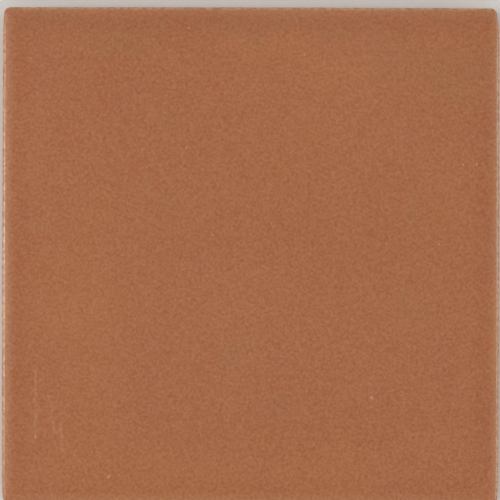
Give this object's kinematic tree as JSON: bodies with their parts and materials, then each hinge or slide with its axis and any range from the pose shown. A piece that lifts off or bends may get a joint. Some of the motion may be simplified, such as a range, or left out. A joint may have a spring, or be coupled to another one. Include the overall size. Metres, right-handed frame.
{
  "type": "terracotta floor tile",
  "caption": "Square terracotta floor tile with a flat satin face, a cushioned edge with a rounded arris on all sides, and a back keyed with parallel dovetail grooves.",
  "frame": {"origin": "middle of the bedding plane on which the ribs of the back lie", "axes": "+Z out of the face, +X and +Y along two sides; the keying grooves of the back run along Y"},
  "size_m": [0.15, 0.15, 0.012],
  "materials": {
    "terracotta": "smooth fired clay with a soft satin skin and a fine even mottle"
  },
  "bodies": {
    "root": {"tile": "terracotta"}
  },
  "joints": []
}
